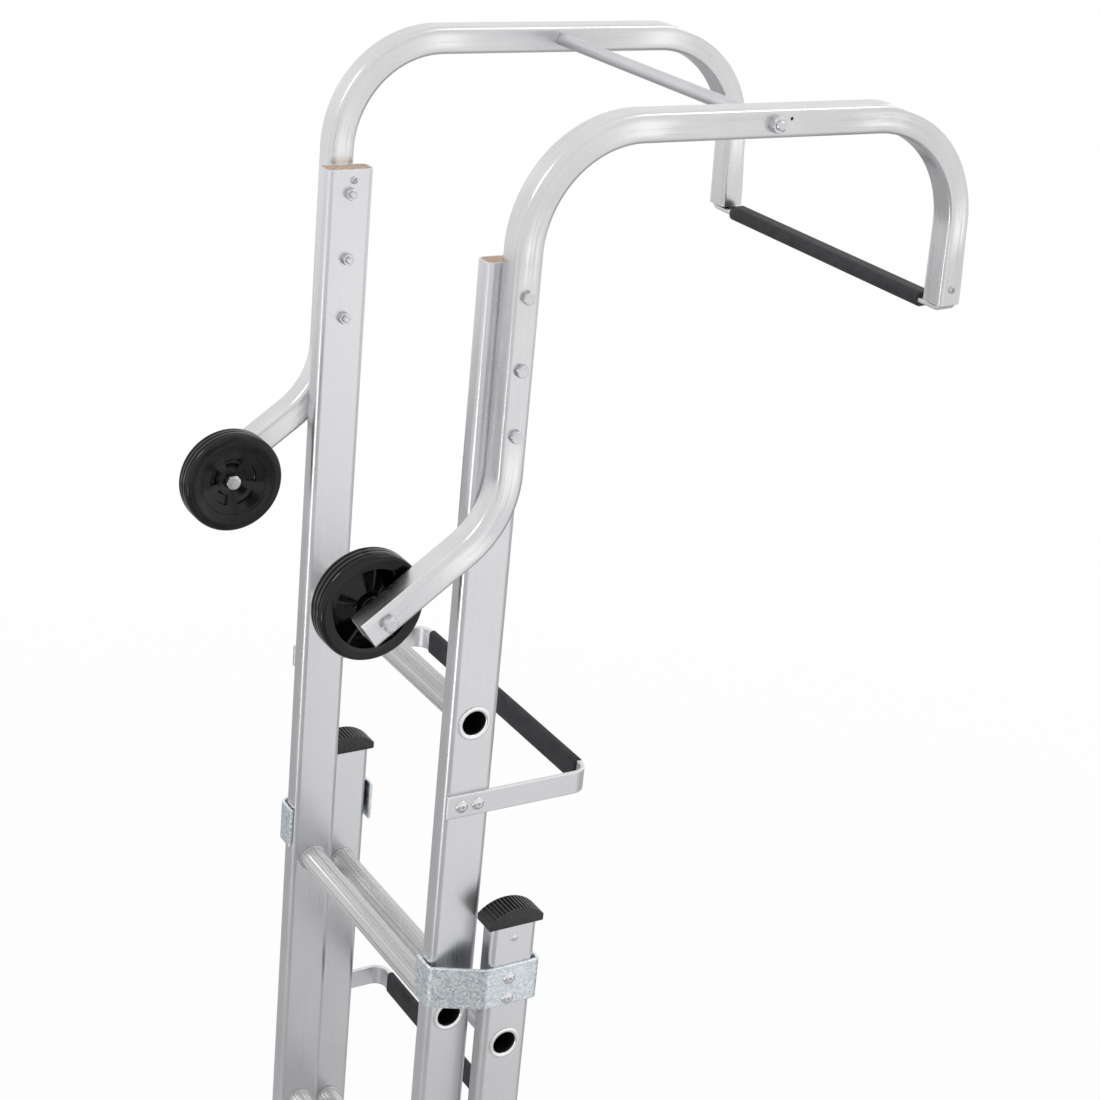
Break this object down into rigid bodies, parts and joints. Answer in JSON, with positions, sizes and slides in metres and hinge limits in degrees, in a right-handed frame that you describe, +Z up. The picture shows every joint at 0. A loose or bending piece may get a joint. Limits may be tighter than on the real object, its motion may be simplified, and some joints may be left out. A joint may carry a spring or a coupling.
{
  "type": "roof ladder",
  "caption": "Two-section aluminium roof ladder: a sliding upper section with bent tube hooks, wheels, a padded ridge bar and padded roof bearers.",
  "frame": {"origin": "on the floor, at the bottom centre of the ladder's bounding box with the sections nested", "axes": "+X across the ladder, +Y towards the roof, +Z up along the stiles"},
  "size_m": [0.385, 0.6012, 3.2295],
  "materials": {
    "aluminium": "brushed mill finish",
    "rung_aluminium": "grooved mill finish",
    "rivet_aluminium": "bright",
    "zinc": "hot-dip galvanised",
    "fastener_steel": "bright zinc plated",
    "cap_plastic": "satin",
    "wheel_plastic": "semi gloss",
    "foam": "closed-cell foam",
    "timber": "bare sawn"
  },
  "bodies": {
    "lower_section": {"lower_stile_left": "aluminium", "lower_stile_right": "aluminium", "lower_rung_1": "rung_aluminium", "lower_rung_2": "rung_aluminium", "lower_rung_3": "rung_aluminium", "lower_rung_4": "rung_aluminium", "lower_rung_5": "rung_aluminium", "lower_rung_6": "rung_aluminium", "lower_rung_7": "rung_aluminium", "lower_rung_8": "rung_aluminium", "lower_foot_left": "cap_plastic", "lower_foot_right": "cap_plastic", "top_cap_left": "cap_plastic", "top_cap_right": "cap_plastic", "guide_bracket_left": "zinc", "guide_bracket_right": "zinc", "lower_bearer": "aluminium", "lower_bearer_sleeve": "foam", "lower_rivets": "rivet_aluminium"},
    "upper_section": {"upper_stile_left": "aluminium", "upper_stile_right": "aluminium", "upper_rung_1": "rung_aluminium", "upper_rung_2": "rung_aluminium", "upper_rung_3": "rung_aluminium", "upper_rung_4": "rung_aluminium", "upper_rung_5": "rung_aluminium", "upper_rung_6": "rung_aluminium", "upper_rung_7": "rung_aluminium", "upper_rung_8": "rung_aluminium", "upper_rung_9": "rung_aluminium", "upper_foot_left": "cap_plastic", "upper_foot_right": "cap_plastic", "timber_packer_left": "timber", "timber_packer_right": "timber", "packer_screws": "fastener_steel", "hook_left": "aluminium", "hook_right": "aluminium", "hook_bolts": "fastener_steel", "hook_nuts": "fastener_steel", "tie_tube": "aluminium", "tie_rod": "fastener_steel", "tie_nuts": "fastener_steel", "ridge_bar": "aluminium", "ridge_sleeve": "foam", "ridge_screws": "fastener_steel", "upper_bearer": "aluminium", "upper_bearer_sleeve": "foam", "bottom_bracket_left": "zinc", "bottom_bracket_right": "zinc", "upper_rivets": "rivet_aluminium", "axle_bolts": "fastener_steel", "axle_nuts": "fastener_steel", "axle_spacers": "wheel_plastic"},
    "wheel_left": {"wheel_left": "wheel_plastic"},
    "wheel_right": {"wheel_right": "wheel_plastic"}
  },
  "joints": [
    {"name": "section_slide", "type": "slide", "parent": "lower_section", "child": "upper_section", "axis": [0, 0, 1], "range_m": [0, 1.5]},
    {"name": "wheel_left_spin", "type": "hinge", "parent": "upper_section", "child": "wheel_left", "pos_m": [-0.145, -0.25307, 2.8197], "axis": [1, 0, 0], "continuous": true},
    {"name": "wheel_right_spin", "type": "hinge", "parent": "upper_section", "child": "wheel_right", "pos_m": [0.145, -0.25307, 2.8197], "axis": [1, 0, 0], "continuous": true}
  ]
}
